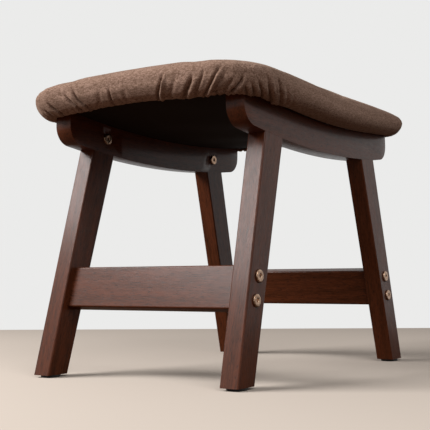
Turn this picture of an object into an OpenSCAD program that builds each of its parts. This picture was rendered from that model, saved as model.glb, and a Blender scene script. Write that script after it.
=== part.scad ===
// Wooden footstool: two leaning side frames, two stretchers and a padded saddle seat.
// X runs along the rails, Y across them and Z up. The origin is on the floor under the middle of the seat.

/* [Seat board] */
// Length of the bent plywood seat board, along the rails
board_length = 440; // [400:5:500]
// Depth of the seat board, across the rails
board_depth = 308; // [280:2:360]
// Thickness of the seat board
board_thickness = 12; // [9:0.5:15]
// Corner radius of the seat board, seen from above
board_corner = 42; // [40:1:60]
// Radius of the saddle curve on which the seat rests
seat_radius = 1600; // [1300:50:2400]

/* [Padding and cover] */
// How far the padded edge stands out past the board
pad_bulge = 18; // [12:1:24]
// Height of the fullest line of the padded edge above the board's underside
pad_fullest_height = 14; // [10:1:17]
// Height of the padding's rim above the board's underside
pad_rim_height = 38; // [30:1:50]
// Width of the rounded border between the fullest line and the flatter top
pad_border = 50; // [40:1:50]
// Extra height of the padding at the middle of the seat
pad_crown = 4; // [2:1:12]
// Extra height of the padding all across the seat at mid length, fading out to its two ends
pad_fullness = 8; // [0:0.5:10]
// How far the padding sinks along its two ends
pad_end_drop = 2.5; // [0:0.5:6]
// How much further it sinks at its corners
pad_corner_drop = 12.5; // [0:0.5:14]
// Thickness of the cover fabric
cover_thickness = 1.2; // [0.8:0.1:1.6]
// How far in from the board's edge the cover turns under the board
cover_turn = 7; // [4:1:9]
// Depth of the gathers that the cover makes round each corner
gather_depth = 1.4; // [0.2:0.1:2]
// How far the gathered cover bulges below the board along the two ends
end_bulge = 5; // [0.5:0.5:7]
// Thickness of the dark cloth under the board
cloth_thickness = 0.6; // [0.4:0.1:1]

/* [Side frames] */
// Height of the rail's underside above the floor at mid length
rail_underside_height = 281; // [240:1:340]
// Depth of the rail at mid length
rail_depth = 38; // [36:1:48]
// Radius of the curve along the rail's underside
rail_underside_radius = 1500; // [1050:50:2000]
// Radius of the rail's lower corners
rail_corner = 24; // [14:1:26]
// Thickness of the rails and legs
timber_thickness = 24; // [22:0.5:28]
// How far the board stands out past each end of a rail
end_overhang = 20; // [18:1:30]
// How far the board stands out past the outer face of a rail
side_overhang = 14; // [13:0.5:22]
// How far each frame leans in from its feet to the seat, in degrees
frame_lean = 1.4; // [0:0.1:3]
// Width of each leg at the rail, square to its length
leg_top_width = 41; // [36:1:44]
// Width of each leg at the floor, square to its length
leg_foot_width = 34; // [30:1:38]
// Rake of the legs along the rails, in degrees
leg_rake = 15.4; // [10:0.2:18]
// Distance from the rail's end to the leg, where they meet
leg_inset = 44; // [38:0.5:60]
// Rounding of the long edges of the legs and stretchers
edge_rounding = 2; // [1:0.1:4]

/* [Stretchers] */
// Height of the stretchers' middle above the floor
stretcher_height = 109; // [90:1:150]
// Width of each stretcher
stretcher_width = 51; // [46:1:60]
// Thickness of each stretcher
stretcher_thickness = 18; // [17:0.5:22]

/* [Mortise and tenon] */
// Width of the tenon, across the leg
tenon_width = 22; // [16:1:26]
// Thickness of the tenon
tenon_thickness = 8; // [6:0.5:9]
// Length of the tenon above its shoulder
tenon_length = 27; // [25:0.5:28]
// Height of the locking bolt above the rail's underside
rail_bolt_height = 19; // [16:0.5:20]

/* [Fasteners] */
// Diameter of the bolts' thread
bolt_diameter = 6; // [5:0.5:6.5]
// Diameter of the flat bolt heads
head_diameter = 15; // [12:0.5:16]
// Thickness of the flat bolt heads
head_height = 2.2; // [1.6:0.1:3]
// Size across the flats of the hexagon sockets
socket_size = 4; // [3:0.5:4]
// Depth of the hexagon sockets
socket_depth = 3.4; // [2:0.2:4]
// Distance between the two bolts of a stretcher joint
bolt_spacing = 28; // [24:1:32]
// Diameter of the threaded inserts in the rails and stretchers
insert_diameter = 9; // [8:0.5:10]
// Length of the inserts in the rails
rail_insert_length = 5.5; // [4:0.5:6]
// Length of the inserts in the stretchers' ends
stretcher_insert_length = 22; // [14:1:30]
// Distance of the seat bolts from mid length
seat_bolt_offset = 72; // [50:2:80]
// How far the seat bolts reach down into the rails
seat_bolt_reach = 20; // [14:1:24]
// Length of the inserts in the rails' tops
seat_insert_length = 14; // [10:1:16]

/* [Feet] */
// Diameter of the glide under each leg
glide_diameter = 24; // [18:0.5:26]
// Thickness of the glides
glide_thickness = 3; // [3:0.5:6]
// Length of the nail above the glide
nail_length = 15; // [10:1:20]

/* [Hidden] */

// Signs of the stool's ends and sides
LEFT = -1;
RIGHT = 1;
FRONT = -1;
REAR = 1;

// Facets of the small round parts and of the long curves
$fn = 72;
long_curve_facets = 720;
// Overrun of every cut
overrun = 1;

// Clearances round tenons, bolts and threads, and between soft layers
tenon_clearance = 0.15;
hole_clearance = 0.25;
thread_clearance = 0.1;
layer_gap = 0.3;

// Small sizes of the fasteners
head_edge = 0.7;
bolt_end_room = 1;

// Glides and the nails that are moulded into them
glide_edge = 0.8;
nail_diameter = 2.5;
nail_head_diameter = 8;
nail_head_thickness = 1;
nail_head_base = 1;

// Staples through the dark cloth
staple_crown = 10;
staple_wire = 0.8;
staple_leg = 6;
staple_inset = 3.2;
staples_long_side = 7;
staples_short_side = 5;

// Steps round the padding's outline
corner_steps = 8;
long_steps = 7;
short_steps = 5;
// Steps up the padding's rounded border and down its drawn-in side
border_steps = 4;
side_steps = 3;
// Squareness of the rounded border, where 2 is an ellipse
border_power = 2.2;
// Offset from the board's edge at which the cover has turned flat under the board
flat_offset = 1;
// How steeply the bulge below the board grows towards the ends
bulge_power = 6;
// Shares of the way from the middle to the border at which the top has a ring of points
ring_shares = [0.34, 0.68];

// The seat's curve, its layers and its centre of curvature
seat_low_z = rail_underside_height + rail_depth;
seat_centre_z = seat_low_z + seat_radius;
board_under_radius = seat_radius - cloth_thickness;
board_top_radius = board_under_radius - board_thickness;

// The side frames
rail_length = board_length - 2 * end_overhang;
rail_face_y = board_depth / 2 - side_overhang;
leg_top_x = rail_length / 2 - leg_inset - leg_top_width / cos(leg_rake) / 2;
leg_taper = atan((leg_top_width - leg_foot_width) / 2 * cos(leg_rake) / rail_underside_height);
rail_wall = (timber_thickness - tenon_thickness) / 2;

// The feet, where each leg's middle line meets its glide
foot_height = seat_low_z
    - (seat_low_z - glide_thickness - timber_thickness / 2 * sin(frame_lean)) / cos(frame_lean);
foot_x = leg_x(foot_height);
foot_y = rail_face_y - timber_thickness / 2 * cos(frame_lean)
    + (seat_low_z - foot_height) * sin(frame_lean);

// Bolt lengths follow what the bolts pass through
stretcher_bolt_length = timber_thickness + stretcher_insert_length;
rail_bolt_length = rail_wall + tenon_thickness + rail_insert_length;
seat_head_base = cloth_thickness + board_thickness - layer_gap - head_height;
seat_bolt_length = seat_head_base + seat_bolt_reach;
seat_bore_depth = max(seat_bolt_reach, layer_gap + seat_insert_length) + bolt_end_room;

// The cover's turned edge and the cloth's edge, as offsets from the board's edge
hem_offset = -cover_turn;
cloth_offset = hem_offset - layer_gap;

// Height of the rail's underside at a distance from mid length
function underside_z(x) = rail_underside_height + rail_underside_radius
    - sqrt(pow(rail_underside_radius, 2) - x * x);

// Distance of a leg's middle line from mid length, at a height in the frame's own plane
function leg_x(height) = leg_top_x + (rail_underside_height - height) * tan(leg_rake);

// True height of a point in a leaning frame, its depth being measured in from the outer face
function true_height(depth, height) = seat_low_z + (height - seat_low_z) * cos(frame_lean)
    - depth * sin(frame_lean);

// Puts children, which stand upright with the outer face at Y = 0, into the front or rear frame
module in_frame(side) {
    mirror([0, side == REAR ? 1 : 0, 0])
        translate([0, -rail_face_y, seat_low_z])
            rotate([-frame_lean, 0, 0])
                translate([0, 0, -seat_low_z])
                    children();
}

// Puts children on a leg's middle line, with Z along the leg and Y through it from the outer face
module on_leg(end, height) {
    translate([end * leg_x(height), 0, height])
        rotate([0, -end * leg_rake, 0])
            children();
}

// Puts children on the rails' curved top, with Z square to it
module on_seat(x, y) {
    translate([0, y, seat_centre_z])
        rotate([0, -asin(x / seat_radius), 0])
            translate([0, 0, -seat_radius])
                children();
}

module at_seat_bolt(end, side) {
    on_seat(end * seat_bolt_offset, side * (rail_face_y - timber_thickness / 2))
        children();
}

// Puts children on the outer face of a leg at both bolts of its stretcher joint
module at_stretcher_bolts(end) {
    on_leg(end, stretcher_height)
        for (step = [-1, 1])
            translate([0, 0, step * bolt_spacing / 2])
                children();
}

// Puts children on the inner face of a rail at a tenon's bolt, with Y towards the outer face
module at_rail_bolt(end) {
    on_leg(end, underside_z(leg_top_x) + rail_bolt_height)
        translate([0, timber_thickness, 0])
            rotate([0, 0, 180])
                children();
}

module at_foot(end, side) {
    translate([end * foot_x, side * foot_y, 0])
        children();
}

// Puts children at every staple, with X along the seat's edge
module at_staples() {
    edge_x = board_length / 2 + cloth_offset - staple_inset;
    edge_y = board_depth / 2 + cloth_offset - staple_inset;
    reach_x = board_length / 2 - board_corner;
    reach_y = board_depth / 2 - board_corner;
    for (sign = [-1, 1]) {
        for (step = [0:staples_long_side - 1])
            on_seat(reach_x * (2 * step / (staples_long_side - 1) - 1), sign * edge_y)
                children();
        for (step = [0:staples_short_side - 1])
            on_seat(sign * edge_x, reach_y * (2 * step / (staples_short_side - 1) - 1))
                rotate([0, 0, 90])
                    children();
    }
}

// A round bar along Y, which starts one overrun before Y = 0
module bore(length, diameter) {
    rotate([-90, 0, 0])
        translate([0, 0, -overrun])
            cylinder(h = overrun + length, d = diameter);
}

module hexagon_socket() {
    translate([0, 0, -overrun])
        cylinder(h = overrun + socket_depth, d = socket_size / cos(30), $fn = 6);
}

module rounded_section(width, thickness, rounding) {
    square([width - 2 * rounding, thickness], center = true);
    square([width, thickness - 2 * rounding], center = true);
    for (x = [-1, 1], y = [-1, 1])
        translate([x * (width / 2 - rounding), y * (thickness / 2 - rounding)])
            circle(rounding);
}

// A long cylinder along Y about the seat's centre of curvature
module seat_cylinder(radius) {
    translate([0, 0, seat_centre_z])
        rotate([90, 0, 0])
            cylinder(h = 2 * board_depth, r = radius, center = true, $fn = long_curve_facets);
}

// A curved sheet between two radii, its edge being offset from the board's edge
module seat_layer(outer_radius, inner_radius, edge_offset) {
    intersection() {
        translate([0, 0, rail_underside_height])
            linear_extrude(board_length)
                rounded_section(board_length + 2 * edge_offset, board_depth + 2 * edge_offset,
                    board_corner + edge_offset);
        difference() {
            seat_cylinder(outer_radius);
            seat_cylinder(inner_radius);
        }
    }
}

// Everything above the curve of the rails' undersides
module above_underside() {
    translate([0, 0, rail_underside_height + rail_underside_radius])
        rotate([90, 0, 0])
            cylinder(h = 2 * board_depth, r = rail_underside_radius, center = true,
                $fn = long_curve_facets);
}

// Side view of a rail before its top is cut to the seat's curve
module rail_outline() {
    half_length = rail_length / 2;
    corner_x = half_length - rail_corner;
    corner_z = rail_underside_height + rail_underside_radius
        - sqrt(pow(rail_underside_radius - rail_corner, 2) - pow(corner_x, 2));
    tangent_x = corner_x * rail_underside_radius / (rail_underside_radius - rail_corner);
    top_z = seat_low_z + rail_depth;
    intersection() {
        translate([0, rail_underside_height + rail_underside_radius])
            circle(rail_underside_radius, $fn = long_curve_facets);
        union() {
            translate([-tangent_x, rail_underside_height - overrun])
                square([2 * tangent_x, top_z - rail_underside_height + overrun]);
            translate([-half_length, corner_z])
                square([rail_length, top_z - corner_z]);
            for (end = [LEFT, RIGHT])
                translate([end * corner_x, corner_z])
                    circle(rail_corner);
        }
    }
}

// Tenon in line with its leg, from inside the leg to its end in the rail
module tenon(end, clearance) {
    rise = (underside_z(leg_top_x) - rail_underside_height) / cos(leg_rake);
    width = tenon_width + 2 * clearance;
    on_leg(end, rail_underside_height)
        translate([-width / 2, rail_wall - clearance, rise - leg_top_width / 2])
            cube([width, tenon_thickness + 2 * clearance, leg_top_width / 2 + tenon_length + clearance]);
}

module rail(side) {
    color("#4a2c22")
        difference() {
            in_frame(side)
                difference() {
                    translate([0, timber_thickness, 0])
                        rotate([90, 0, 0])
                            linear_extrude(timber_thickness)
                                rail_outline();
                    for (end = [LEFT, RIGHT]) {
                        tenon(end, tenon_clearance);
                        at_rail_bolt(end)
                            bore(rail_bolt_length, insert_diameter + 2 * thread_clearance);
                    }
                }
            seat_cylinder(seat_radius);
            for (end = [LEFT, RIGHT])
                at_seat_bolt(end, side)
                    translate([0, 0, -seat_bore_depth])
                        cylinder(h = seat_bore_depth + overrun, d = insert_diameter + 2 * thread_clearance);
        }
}

// A bar along Z whose side on the +X or -X side has a leg's taper, full width being at Z = 0
module tapered_side(sign, reach) {
    bar_width = leg_top_width + 2 * edge_rounding;
    translate([sign * leg_top_width / 2, timber_thickness / 2, 0])
        rotate([0, sign * leg_taper, 0])
            translate([-sign * bar_width / 2, 0, -reach])
                linear_extrude(reach + leg_top_width)
                    rounded_section(bar_width, timber_thickness, edge_rounding);
}

module leg(end, side) {
    reach = rail_underside_height / cos(leg_rake) + leg_top_width;
    color("#4a2c22")
        difference() {
            in_frame(side)
                difference() {
                    union() {
                        difference() {
                            on_leg(end, rail_underside_height)
                                intersection() {
                                    tapered_side(LEFT, reach);
                                    tapered_side(RIGHT, reach);
                                }
                            above_underside();
                        }
                        tenon(end, 0);
                    }
                    at_stretcher_bolts(end)
                        bore(timber_thickness + overrun, bolt_diameter + 2 * hole_clearance);
                    at_rail_bolt(end)
                        bore(timber_thickness, bolt_diameter + 2 * hole_clearance);
                }
            at_foot(end, side) {
                translate([-leg_top_width, -leg_top_width, glide_thickness - 2 * leg_top_width])
                    cube(2 * leg_top_width);
                cylinder(h = glide_thickness + nail_length + bolt_end_room,
                    d = nail_diameter + 2 * thread_clearance);
            }
        }
}

module stretcher(end) {
    color("#5a3226")
        difference() {
            translate([end * leg_x(stretcher_height), 0, true_height(timber_thickness, stretcher_height)])
                rotate([0, -end * leg_rake, 0])
                    rotate([90, 0, 0])
                        linear_extrude(board_depth, center = true)
                            rounded_section(stretcher_thickness, stretcher_width, edge_rounding);
            for (side = [FRONT, REAR])
                in_frame(side) {
                    translate([-board_length, timber_thickness - board_depth, 0])
                        cube([2 * board_length, board_depth, rail_underside_height]);
                    at_stretcher_bolts(end)
                        bore(stretcher_bolt_length + bolt_end_room,
                            insert_diameter + 2 * thread_clearance);
                }
        }
}

module seat_board() {
    color("#c9a77a")
        difference() {
            seat_layer(board_under_radius, board_top_radius, 0);
            for (end = [LEFT, RIGHT], side = [FRONT, REAR])
                at_seat_bolt(end, side) {
                    cylinder(h = seat_head_base + overrun, d = bolt_diameter + 2 * hole_clearance);
                    translate([0, 0, seat_head_base])
                        cylinder(h = board_thickness, d = head_diameter + 2 * hole_clearance);
                }
            at_staples()
                staple_legs(thread_clearance);
        }
}

// Point on the seat's curve, a height above the board's underside
function seat_point(x, y, height) =
    [x, y, seat_centre_z - sqrt(pow(board_under_radius - height, 2) - x * x)];

// One rounded corner of the padding's outline, where a ripple moves every second point out
function corner_points(quarter, edge_offset, ripple) =
    let (sign_x = quarter == 0 || quarter == 3 ? 1 : -1, sign_y = quarter < 2 ? 1 : -1)
    [for (step = [0:corner_steps])
        let (angle = 90 * (quarter + step / corner_steps),
            radius = board_corner + edge_offset + ripple * (step % 2))
        [sign_x * (board_length / 2 - board_corner) + radius * cos(angle),
            sign_y * (board_depth / 2 - board_corner) + radius * sin(angle)]];

function outline_points(edge_offset, ripple) =
    let (corners = [for (quarter = [0:3]) corner_points(quarter, edge_offset, ripple)])
    [for (quarter = [0:3])
        let (start = corners[quarter][corner_steps], stop = corners[(quarter + 1) % 4][0],
            steps = quarter % 2 == 0 ? long_steps : short_steps)
        each concat(corners[quarter],
            [for (step = [1:steps - 1]) start + (stop - start) * step / steps])];

// Ring of points at a height above the board's underside
function seat_ring(edge_offset, height, ripple = 0, share = 1) =
    [for (point = outline_points(edge_offset, ripple))
        seat_point(share * point.x, share * point.y, height)];

// How far the padding's top rises at a point, or sinks if negative, from none at its fullest line
function top_rise(x, y, height) =
    let (end_share = pow(2 * x / board_length, 2), side_share = abs(2 * y / board_depth))
    (pad_fullness * max(0, 1 - end_share) - pad_end_drop * end_share
        - pad_corner_drop * pow(end_share, 2) * pow(side_share, 3))
    * max(0, height - pad_fullest_height) / (pad_rim_height - pad_fullest_height);

// How far the padding bulges down at a distance from mid length, from none at its fullest line
function underside_bulge(x, height) =
    end_bulge * min(1, pow(abs(x) / (board_length / 2 - board_corner / 2), bulge_power))
    * max(0, pad_fullest_height - height) / pad_fullest_height;

function padding_ring(edge_offset, height, ripple = 0, share = 1) =
    [for (point = outline_points(edge_offset, ripple))
        let (x = share * point.x, y = share * point.y)
        seat_point(x, y, height + top_rise(x, y, height) - underside_bulge(x, height))];

// Offsets and heights from the flatter top out to the fullest line, inside the outer surface by inset
function border_curve(inset) =
    [for (step = [border_steps:-1:0])
        let (angle = 90 * step / border_steps)
        [pad_bulge - pad_border + (pad_border - inset) * pow(cos(angle), 2 / border_power),
            pad_fullest_height
                + (pad_rim_height - pad_fullest_height - inset) * pow(sin(angle), 2 / border_power)]];

// Offsets and heights from the fullest line down and in to a drop below the board's underside
function side_curve(inset, drop) =
    [for (step = [1:side_steps])
        let (angle = 90 * step / side_steps)
        [flat_offset + (pad_bulge - inset - flat_offset) * cos(angle),
            pad_fullest_height - (pad_fullest_height + drop) * sin(angle)]];

// Rings of one surface of the padding, from near the middle of the top to under the board's edge
function padding_rings(inset, drop, ripple) = concat(
    [for (share = ring_shares)
        padding_ring(pad_bulge - pad_border, pad_rim_height - inset + pad_crown * (1 - share * share),
            0, share)],
    [for (spot = concat(border_curve(inset), side_curve(inset, drop)))
        padding_ring(spot.x, spot.y, ripple * (1 - spot.y / pad_rim_height), 1)]);

function top_point(inset) =
    let (height = pad_rim_height + pad_crown - inset)
    seat_point(0, 0, height + top_rise(0, 0, height));

function reversed(list) = [for (index = [len(list) - 1:-1:0]) list[index]];

// Closed skin over a list of rings, from an outer top point round to an inner top point
module shell(rings, outer_point, inner_point) {
    count = len(rings[0]);
    last_ring = len(rings) - 1;
    points = concat([outer_point], [for (ring = rings) each ring], [inner_point]);
    faces = concat(
        [for (index = [0:count - 1])
            [0, 1 + (index + 1) % count, 1 + index]],
        [for (ring = [0:last_ring - 1], index = [0:count - 1], half = [0, 1])
            let (near = 1 + ring * count + index, next = 1 + ring * count + (index + 1) % count)
            half == 0 ? [near, next, next + count] : [near, next + count, near + count]],
        [for (index = [0:count - 1])
            [1 + last_ring * count + index, 1 + last_ring * count + (index + 1) % count,
                len(points) - 1]]);
    polyhedron(points = points, faces = faces, convexity = 4);
}

module seat_foam() {
    inset = cover_thickness + layer_gap;
    bed_height = board_thickness + layer_gap;
    color("#d9c48f")
        shell(concat(padding_rings(inset, 0, 0),
                [seat_ring(layer_gap, 0), seat_ring(layer_gap, bed_height)],
                [for (share = reversed(ring_shares)) seat_ring(0, bed_height, 0, share)]),
            top_point(inset), seat_point(0, 0, bed_height));
}

module seat_cover() {
    color("#6b5446")
        shell(concat(padding_rings(0, layer_gap + cover_thickness, gather_depth),
                [padding_ring(hem_offset, -layer_gap - cover_thickness, gather_depth),
                    padding_ring(hem_offset, -layer_gap)],
                reversed(padding_rings(cover_thickness, layer_gap, 0))),
            top_point(0), top_point(cover_thickness));
}

module bottom_cloth() {
    color("#191615")
        difference() {
            seat_layer(seat_radius, board_under_radius, cloth_offset);
            for (end = [LEFT, RIGHT], side = [FRONT, REAR])
                at_seat_bolt(end, side)
                    translate([0, 0, -overrun])
                        cylinder(h = cloth_thickness + 2 * overrun, d = bolt_diameter + 2 * hole_clearance);
            at_staples()
                staple_legs(thread_clearance);
        }
}

// Legs of a staple, or their holes, which leave room all round
module staple_legs(room) {
    wire = staple_wire + 2 * room;
    for (end = [LEFT, RIGHT])
        translate([end * (staple_crown - staple_wire) / 2 - wire / 2, -wire / 2, -staple_wire])
            cube([wire, wire, staple_wire + staple_leg + room]);
}

module cloth_staples() {
    color("#2b2b2d")
        at_staples() {
            translate([-staple_crown / 2, -staple_wire / 2, -staple_wire])
                cube([staple_crown, staple_wire, staple_wire]);
            staple_legs(0);
        }
}

// Flat-headed bolt along Y, with its head on the -Y side of Y = 0 and a socket in the head
module flat_bolt(length) {
    rotate([-90, 0, 0])
        difference() {
            union() {
                cylinder(h = length, d = bolt_diameter);
                translate([0, 0, -head_height + head_edge])
                    cylinder(h = head_height - head_edge, d = head_diameter);
                translate([0, 0, -head_height])
                    cylinder(h = head_edge, d1 = head_diameter - 2 * head_edge, d2 = head_diameter);
            }
            translate([0, 0, -head_height])
                hexagon_socket();
        }
}

module stretcher_bolts(end, side) {
    color("#5b4327")
        in_frame(side)
            at_stretcher_bolts(end)
                flat_bolt(stretcher_bolt_length);
}

// Threaded insert along Y, which starts a distance from Y = 0
module threaded_insert(start, length) {
    translate([0, start, 0])
        difference() {
            rotate([-90, 0, 0])
                cylinder(h = length, d = insert_diameter);
            bore(length + overrun, bolt_diameter + 2 * thread_clearance);
        }
}

module stretcher_inserts(end) {
    color("#b5954f")
        for (side = [FRONT, REAR])
            in_frame(side)
                at_stretcher_bolts(end)
                    threaded_insert(timber_thickness, stretcher_insert_length);
}

module rail_bolts(side) {
    color("#5b4327")
        in_frame(side)
            for (end = [LEFT, RIGHT])
                at_rail_bolt(end)
                    flat_bolt(rail_bolt_length);
}

module rail_inserts(side) {
    color("#b5954f")
        in_frame(side)
            for (end = [LEFT, RIGHT])
                at_rail_bolt(end)
                    threaded_insert(rail_wall + tenon_thickness, rail_insert_length);
}

// Bolts down through the board into the rails' tops, with their heads let into the board
module seat_bolts(side) {
    color("#2b2b2d")
        for (end = [LEFT, RIGHT])
            at_seat_bolt(end, side)
                translate([0, 0, seat_head_base])
                    rotate([-90, 0, 0])
                        flat_bolt(seat_bolt_length);
}

module seat_inserts(side) {
    color("#b5954f")
        for (end = [LEFT, RIGHT])
            at_seat_bolt(end, side)
                rotate([-90, 0, 0])
                    threaded_insert(layer_gap, seat_insert_length);
}

module glide(end, side) {
    color("#161616")
        at_foot(end, side)
            difference() {
                union() {
                    cylinder(h = glide_edge, d1 = glide_diameter - 2 * glide_edge, d2 = glide_diameter);
                    translate([0, 0, glide_edge])
                        cylinder(h = glide_thickness - glide_edge, d = glide_diameter);
                }
                translate([0, 0, nail_head_base]) {
                    cylinder(h = nail_head_thickness, d = nail_head_diameter + 2 * thread_clearance);
                    cylinder(h = glide_thickness, d = nail_diameter + 2 * thread_clearance);
                }
            }
}

module glide_nails() {
    color("#9a9da1")
        for (end = [LEFT, RIGHT], side = [FRONT, REAR])
            at_foot(end, side)
                translate([0, 0, nail_head_base]) {
                    cylinder(h = nail_head_thickness, d = nail_head_diameter);
                    cylinder(h = glide_thickness - nail_head_base + nail_length, d = nail_diameter);
                }
}

rail(FRONT);  // front_rail
rail(REAR);  // rear_rail
leg(LEFT, FRONT);  // leg_front_left
leg(RIGHT, FRONT);  // leg_front_right
leg(LEFT, REAR);  // leg_rear_left
leg(RIGHT, REAR);  // leg_rear_right
stretcher(LEFT);  // left_stretcher
stretcher(RIGHT);  // right_stretcher
seat_board();
seat_foam();
seat_cover();
bottom_cloth();
cloth_staples();
stretcher_bolts(LEFT, FRONT);  // stretcher_bolts_front_left
stretcher_bolts(RIGHT, FRONT);  // stretcher_bolts_front_right
stretcher_bolts(LEFT, REAR);  // stretcher_bolts_rear_left
stretcher_bolts(RIGHT, REAR);  // stretcher_bolts_rear_right
stretcher_inserts(LEFT);  // stretcher_inserts_left
stretcher_inserts(RIGHT);  // stretcher_inserts_right
rail_bolts(FRONT);  // rail_bolts_front
rail_bolts(REAR);  // rail_bolts_rear
rail_inserts(FRONT);  // rail_inserts_front
rail_inserts(REAR);  // rail_inserts_rear
seat_bolts(FRONT);  // seat_bolts_front
seat_bolts(REAR);  // seat_bolts_rear
seat_inserts(FRONT);  // seat_inserts_front
seat_inserts(REAR);  // seat_inserts_rear
glide(LEFT, FRONT);  // glide_front_left
glide(RIGHT, FRONT);  // glide_front_right
glide(LEFT, REAR);  // glide_rear_left
glide(RIGHT, REAR);  // glide_rear_right
glide_nails();
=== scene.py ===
"""The padded footstool: its looks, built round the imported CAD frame."""

import math
import random

import bmesh
import bpy
import numpy as np
from mathutils import Matrix, Vector
from mathutils.bvhtree import BVHTree
from mathutils.kdtree import KDTree


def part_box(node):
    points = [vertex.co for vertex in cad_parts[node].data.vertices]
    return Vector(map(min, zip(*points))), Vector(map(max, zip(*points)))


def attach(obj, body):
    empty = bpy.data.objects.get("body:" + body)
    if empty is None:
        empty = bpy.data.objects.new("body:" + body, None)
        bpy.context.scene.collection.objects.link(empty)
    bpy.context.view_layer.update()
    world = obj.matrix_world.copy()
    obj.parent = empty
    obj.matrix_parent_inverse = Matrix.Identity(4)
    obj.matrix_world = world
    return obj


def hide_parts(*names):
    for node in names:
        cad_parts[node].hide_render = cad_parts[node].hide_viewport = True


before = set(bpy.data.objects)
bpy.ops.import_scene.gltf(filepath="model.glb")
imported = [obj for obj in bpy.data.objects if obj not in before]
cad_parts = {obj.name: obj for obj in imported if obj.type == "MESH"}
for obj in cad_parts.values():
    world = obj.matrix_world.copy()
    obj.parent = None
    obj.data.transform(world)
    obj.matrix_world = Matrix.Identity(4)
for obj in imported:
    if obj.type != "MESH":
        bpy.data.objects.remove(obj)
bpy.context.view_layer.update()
scene = bpy.context.scene
MM = 0.001
WELD = 0.01 * MM
SMALLEST = 1e-9

# The seat's form, as the CAD source draws it. Heights are measured square to the board's underside.
board_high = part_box("seat_board")[1]
board_half_length = board_high.x
board_half_width = board_high.y
board_corner = 42 * MM
seat_centre_z = 1919 * MM
board_under_radius = 1599.4 * MM
fullest_height = 14 * MM
fullest_offset = 18 * MM
border_width = 50 * MM
border_height = 24 * MM
border_power = 2.2
side_depth = 15.5 * MM
side_width = 17 * MM       # how far the side turns in below its fullest line
hem_offset = -7 * MM
hem_height = -1.5 * MM
cover_thickness = 1.2 * MM
pad_fullness = 8 * MM
pad_end_drop = 2.5 * MM
pad_corner_drop = 12.5 * MM
end_bulge = 5 * MM
end_bulge_from = 199 * MM
BULGE_POWER = 6
cloth_offset = -7.3 * MM
cloth_thickness = 0.6 * MM
rail_inner_y = 116 * MM

# The side frames lean in a little, and the legs are raked along them.
frame_lean = math.radians(1.4)
leg_rake = math.radians(15.4)


# Small helpers

def linear(colour):
    """An sRGB hex colour as the linear colour that a shader takes."""
    shares = [int(colour[i:i + 2], 16) / 255 for i in (1, 3, 5)]
    return tuple(s / 12.92 if s <= 0.04045 else ((s + 0.055) / 1.055) ** 2.4 for s in shares) + (1,)


def add(tree, kind, inputs=None, **settings):
    """A node with its settings. Its inputs are values, or other nodes' outputs to link."""
    made = tree.nodes.new(kind)
    for name, value in settings.items():
        setattr(made, name, value)
    for name, value in (inputs or {}).items():
        if isinstance(value, bpy.types.NodeSocket):
            tree.links.new(value, made.inputs[name])
        else:
            made.inputs[name].default_value = value
    return made


def finish_named(name):
    """An empty material, its node tree and its output node."""
    material = bpy.data.materials.new(name)
    material.use_nodes = True
    tree = material.node_tree
    tree.nodes.clear()
    return material, tree, add(tree, "ShaderNodeOutputMaterial")


FACTOR, FIRST, SECOND, MIXED = 0, 6, 7, 2   # the colour sockets of a Mix node


def merged_copy(*nodes):
    """The triangles of these CAD nodes, merged into one shape."""
    shape = bmesh.new()
    for name in nodes:
        shape.from_mesh(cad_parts[name].data)
    bmesh.ops.remove_doubles(shape, verts=shape.verts, dist=WELD)
    return shape


def piece(name, shape, material, replaced=(), sharp=None):
    """A finished piece of the stool from its shape."""
    mesh = bpy.data.meshes.new(name)
    shape.to_mesh(mesh)
    shape.free()
    for face in mesh.polygons:
        face.use_smooth = True
    if sharp is not None:
        mesh.set_sharp_from_angle(angle=sharp)
    mesh.materials.append(material)
    made = bpy.data.objects.new(name, mesh)
    scene.collection.objects.link(made)
    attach(made, "root")
    if replaced:
        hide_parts(*replaced)
    return made


# Materials

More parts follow.
